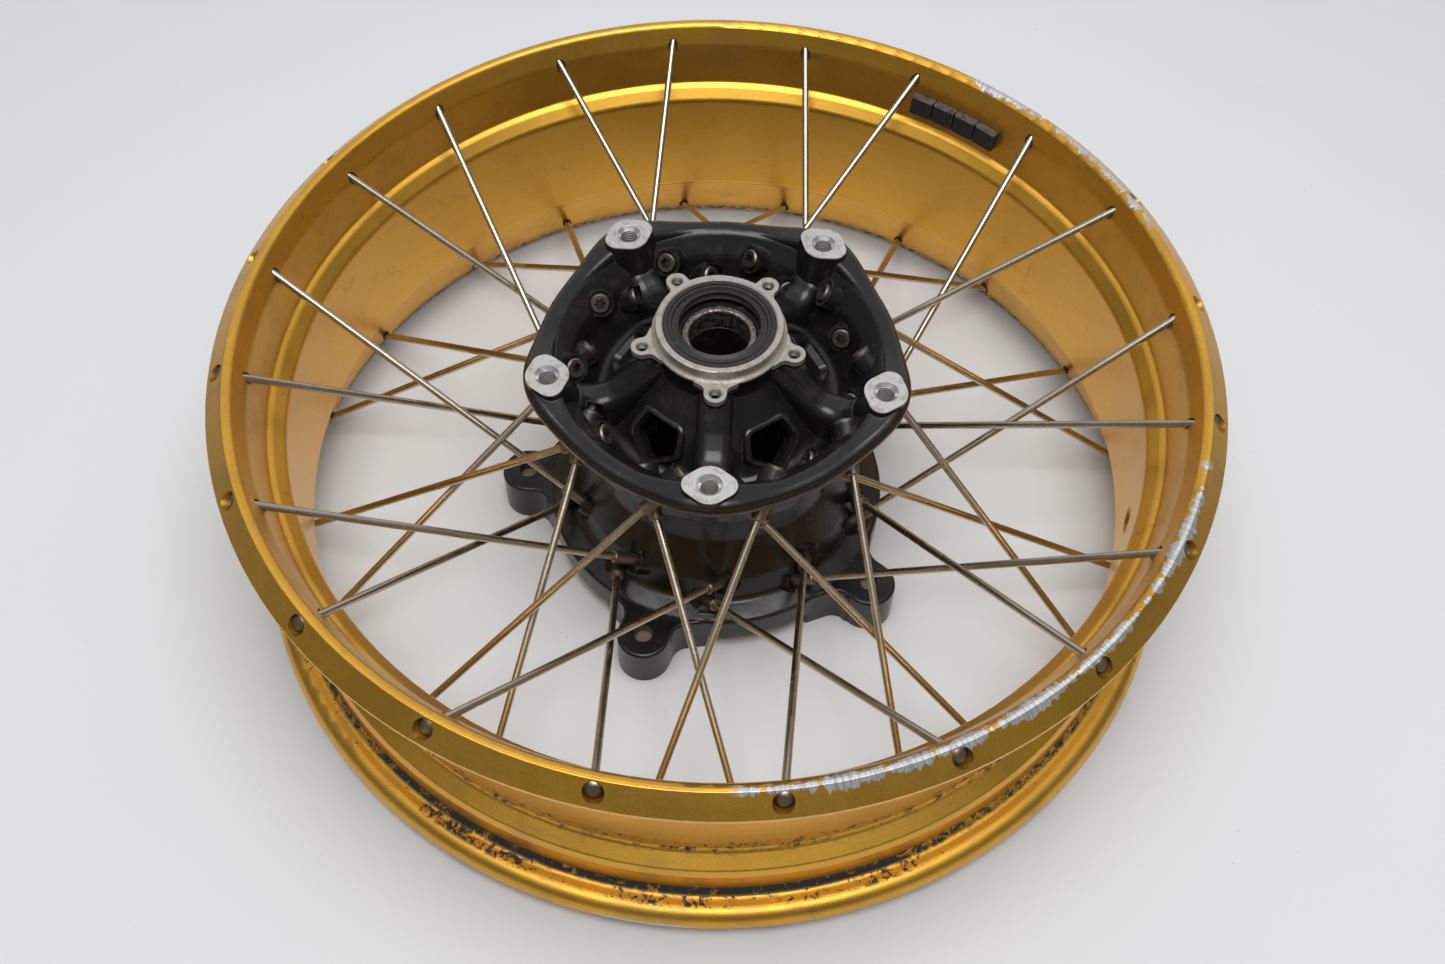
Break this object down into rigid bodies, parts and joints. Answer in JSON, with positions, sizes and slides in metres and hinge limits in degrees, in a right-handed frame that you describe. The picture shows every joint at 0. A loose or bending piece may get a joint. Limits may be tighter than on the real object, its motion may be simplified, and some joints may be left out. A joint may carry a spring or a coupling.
{
  "type": "spoked wheel",
  "caption": "Tubeless motorcycle rear wheel: drop-centre rim, crossed tangential spokes with heads in the rim's edges, cast hub with disc pads, bearings, oil seal and drive dampers.",
  "frame": {"origin": "wheel centre: on the axle line, on the rim's middle plane, half way between the tyre flanges", "axes": "+Z along the axle towards the brake-disc side, up as it lies on the floor; +X and +Y in the wheel's plane, with a brake-disc bolt on -Y"},
  "size_m": [0.4627, 0.4628, 0.1481],
  "materials": {
    "gold_rim": "satin gold anodised",
    "black_hub": "satin black with machined pads",
    "spoke_steel": "satin",
    "nipple_steel": "dull",
    "ball_steel": "polished",
    "cage_plastic": "matt",
    "shield_rubber": "matt",
    "bearing_steel": "ground",
    "tube_steel": "dull",
    "spring_steel": "dark",
    "seal_rubber": "matt",
    "bush_steel": "dull",
    "damper_rubber": "matt",
    "tape_foam": "matt",
    "weight_coat": "matt"
  },
  "bodies": {
    "wheel": {"rim": "gold_rim", "hub_shell": "black_hub", "spokes_disc_rim_steep": "spoke_steel", "spokes_disc_rim_shallow": "spoke_steel", "spokes_drive_rim_steep": "spoke_steel", "spokes_drive_rim_shallow": "spoke_steel", "nipples_disc_rim_steep": "nipple_steel", "nipples_disc_rim_shallow": "nipple_steel", "nipples_drive_rim_steep": "nipple_steel", "nipples_drive_rim_shallow": "nipple_steel", "bearing_disc_outer": "bearing_steel", "bearing_disc_shields": "shield_rubber", "bearing_drive_outer": "bearing_steel", "bearing_drive_shields": "shield_rubber", "retaining_ring": "spring_steel", "seal_disc_case": "seal_rubber", "seal_disc_lip": "seal_rubber", "seal_disc_spring": "spring_steel", "seal_drive_case": "seal_rubber", "seal_drive_lip": "seal_rubber", "seal_drive_spring": "spring_steel", "damper_sleeves": "bush_steel", "damper_rubbers": "damper_rubber", "damper_cores": "bush_steel", "weight_tape": "tape_foam", "balance_weights": "weight_coat"},
    "axle_parts": {"bearing_disc_inner": "bearing_steel", "bearing_drive_inner": "bearing_steel", "distance_tube": "tube_steel"},
    "cage_disc": {"bearing_disc_balls": "ball_steel", "bearing_disc_cage": "cage_plastic"},
    "cage_drive": {"bearing_drive_balls": "ball_steel", "bearing_drive_cage": "cage_plastic"}
  },
  "joints": [
    {"name": "axle_spin", "type": "hinge", "parent": "wheel", "child": "axle_parts", "pos_m": [0, 0, 0], "axis": [0, 0, 1], "continuous": true},
    {"name": "cage_disc_spin", "type": "hinge", "parent": "wheel", "child": "cage_disc", "pos_m": [0, 0, 0.0625], "axis": [0, 0, 1], "continuous": true},
    {"name": "cage_drive_spin", "type": "hinge", "parent": "wheel", "child": "cage_drive", "pos_m": [0, 0, -0.052], "axis": [0, 0, 1], "continuous": true}
  ],
  "couplings": [
    {"joint": "cage_disc_spin", "follows": "axle_spin", "ratio": 0.4121},
    {"joint": "cage_drive_spin", "follows": "axle_spin", "ratio": 0.4121}
  ]
}
